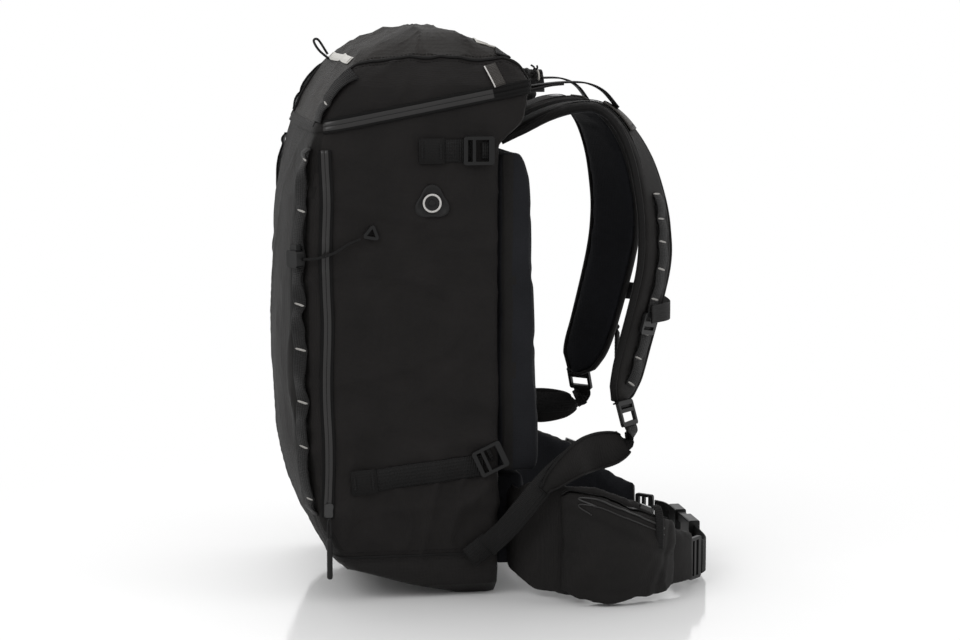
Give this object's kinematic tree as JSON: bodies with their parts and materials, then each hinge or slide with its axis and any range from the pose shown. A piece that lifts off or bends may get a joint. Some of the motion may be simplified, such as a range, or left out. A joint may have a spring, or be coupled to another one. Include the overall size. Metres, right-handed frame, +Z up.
{
  "type": "ski backpack",
  "caption": "Zipped ski backpack with a hinged lid, side straps, padded shoulder harness, sternum strap and a hip belt with pockets.",
  "frame": {"origin": "middle of the flat rear part of the base that the pack stands on, on its plane of symmetry", "axes": "+Z up, +Y towards the wearer and the harness, +X to the wearer's right"},
  "size_m": [0.4118, 0.478, 0.611],
  "materials": {
    "pack_fabric": "matte",
    "spacer_mesh": "matte",
    "strap_fabric": "matte",
    "webbing": "satin",
    "zip_coating": "satin",
    "black_plastic": "satin",
    "zip_metal": "satin",
    "pull_rubber": "matte",
    "elastic_cord": "matte",
    "reflective_band": "satin",
    "frame_plastic": "matte",
    "stay_metal": "brushed"
  },
  "bodies": {
    "pack": {"back_pad": "spacer_mesh", "back_panel": "pack_fabric", "base_panel": "pack_fabric", "daisy_chains": "webbing", "frame_sheet": "frame_plastic", "frame_stays": "stay_metal", "front_panel": "pack_fabric", "lid_zip_lower_tape": "zip_coating", "lifter_buckles": "black_plastic", "load_lifters": "webbing", "lower_webbings": "webbing", "lumbar_pad": "spacer_mesh", "main_zip_tape": "zip_coating", "rope_strap_roll": "webbing", "shoulder_strap_left": "strap_fabric", "shoulder_strap_right": "strap_fabric", "side_badge": "pull_rubber", "side_panel_left": "pack_fabric", "side_panel_right": "pack_fabric", "side_straps": "webbing", "strap_daisies": "webbing", "strap_patches": "webbing", "tool_cord": "elastic_cord", "tool_cord_hook": "black_plastic", "tool_cord_lock": "black_plastic", "webbing_tabs": "webbing"},
    "lid": {"lid_shell": "pack_fabric", "lid_zip_upper_tape": "zip_coating", "lid_bands": "reflective_band", "lid_cord_loop": "elastic_cord"},
    "main_slider": {"main_zip_slider": "zip_metal"},
    "main_pull": {"main_zip_pull": "pull_rubber"},
    "lid_slider": {"lid_zip_slider": "zip_metal", "lid_zip_pull": "zip_metal"},
    "haul_loop": {"haul_loop": "webbing"},
    "upper_hook_right": {"upper_hook_right": "black_plastic"},
    "upper_hook_left": {"upper_hook_left": "black_plastic"},
    "lower_hook_right": {"lower_hook_right": "black_plastic"},
    "lower_hook_left": {"lower_hook_left": "black_plastic"},
    "shoulder_buckle_right": {"shoulder_buckle_right": "black_plastic"},
    "shoulder_buckle_left": {"shoulder_buckle_left": "black_plastic"},
    "hip_wing_right": {"hip_wing_right": "strap_fabric", "hip_pocket_right": "pack_fabric", "hip_ladder_lock_right": "black_plastic", "belt_webbing_right": "webbing", "hip_socket": "black_plastic"},
    "hip_wing_left": {"hip_wing_left": "strap_fabric", "hip_pocket_left": "pack_fabric", "hip_ladder_lock_left": "black_plastic", "belt_webbing_left": "webbing"},
    "pocket_slider_right": {"pocket_slider_right": "zip_metal"},
    "pocket_slider_left": {"pocket_slider_left": "zip_metal"},
    "hip_plug": {"hip_plug": "black_plastic"},
    "sternum_strap": {"sternum_sliders": "black_plastic", "sternum_webbing": "webbing", "sternum_socket": "black_plastic"},
    "sternum_plug": {"sternum_plug": "black_plastic"},
    "tool_cord_button": {"tool_cord_button": "black_plastic"},
    "strap_slider": {"strap_zip_pull": "pull_rubber"}
  },
  "joints": [
    {"name": "lid_hinge", "type": "hinge", "parent": "pack", "child": "lid", "pos_m": [0, -0.17484, 0.506], "axis": [1, 0, 0], "range_deg": [0, 120]},
    {"name": "main_zip_slide", "type": "slide", "parent": "pack", "child": "main_slider", "axis": [0, 0, 1], "range_m": [0, 0.25]},
    {"name": "main_pull_swing", "type": "hinge", "parent": "main_slider", "child": "main_pull", "pos_m": [0.1522, -0.163, 0.0959], "axis": [0, -1, 0], "range_deg": [0, 80]},
    {"name": "lid_zip_slide", "type": "slide", "parent": "pack", "child": "lid_slider", "axis": [0.0075, 0.9829, 0.184], "range_m": [0, 0.075]},
    {"name": "haul_loop_swing", "type": "hinge", "parent": "pack", "child": "haul_loop", "pos_m": [0, 0.0565, 0.5325], "axis": [1, 0, 0], "range_deg": [-25, 0]},
    {"name": "upper_hook_right_turn", "type": "hinge", "parent": "pack", "child": "upper_hook_right", "pos_m": [0.1494, -0.017, 0.484], "axis": [0, 0, 1], "range_deg": [-60, 0]},
    {"name": "upper_hook_left_turn", "type": "hinge", "parent": "pack", "child": "upper_hook_left", "pos_m": [-0.1494, -0.017, 0.484], "axis": [0, 0, 1], "range_deg": [0, 60]},
    {"name": "lower_hook_right_turn", "type": "hinge", "parent": "pack", "child": "lower_hook_right", "pos_m": [0.1494, -0.004, 0.147], "axis": [0, -0.4226, 0.9063], "range_deg": [-60, 0]},
    {"name": "lower_hook_left_turn", "type": "hinge", "parent": "pack", "child": "lower_hook_left", "pos_m": [-0.1494, -0.004, 0.147], "axis": [0, -0.4226, 0.9063], "range_deg": [0, 60]},
    {"name": "shoulder_buckle_right_tilt", "type": "hinge", "parent": "pack", "child": "shoulder_buckle_right", "pos_m": [0.1176, 0.1646, 0.207], "axis": [0.7071, -0.7071, 0], "range_deg": [0, 30]},
    {"name": "shoulder_buckle_left_tilt", "type": "hinge", "parent": "pack", "child": "shoulder_buckle_left", "pos_m": [-0.1176, 0.1646, 0.207], "axis": [-0.7071, -0.7071, 0], "range_deg": [-30, 0]},
    {"name": "hip_wing_right_swing", "type": "hinge", "parent": "pack", "child": "hip_wing_right", "pos_m": [0.148, 0.044, 0], "axis": [0, 0, 1], "range_deg": [-5, 0]},
    {"name": "hip_wing_left_swing", "type": "hinge", "parent": "pack", "child": "hip_wing_left", "pos_m": [-0.148, 0.044, 0], "axis": [0, 0, 1], "range_deg": [0, 5]},
    {"name": "pocket_zip_right_slide", "type": "slide", "parent": "hip_wing_right", "child": "pocket_slider_right", "axis": [0, -0.9296, 0.3686], "range_m": [0, 0.045]},
    {"name": "pocket_zip_left_slide", "type": "slide", "parent": "hip_wing_left", "child": "pocket_slider_left", "axis": [0, -0.9296, 0.3686], "range_m": [0, 0.045]},
    {"name": "hip_plug_slide", "type": "slide", "parent": "hip_wing_left", "child": "hip_plug", "axis": [1, 0, 0], "range_m": [0, 0.024]},
    {"name": "sternum_height", "type": "slide", "parent": "pack", "child": "sternum_strap", "axis": [0, 0.2402, 0.9707], "range_m": [-0.004, 0.03]},
    {"name": "sternum_plug_slide", "type": "slide", "parent": "sternum_strap", "child": "sternum_plug", "axis": [-1, 0, 0], "range_m": [0, 0.018]},
    {"name": "tool_cord_button_press", "type": "slide", "parent": "pack", "child": "tool_cord_button", "axis": [0, 0, -1], "range_m": [0, 0.0025], "stiffness_N_per_m": 400},
    {"name": "strap_zip_slide", "type": "slide", "parent": "pack", "child": "strap_slider", "axis": [0, -0.2402, -0.9707], "range_m": [0, 0.02]}
  ]
}
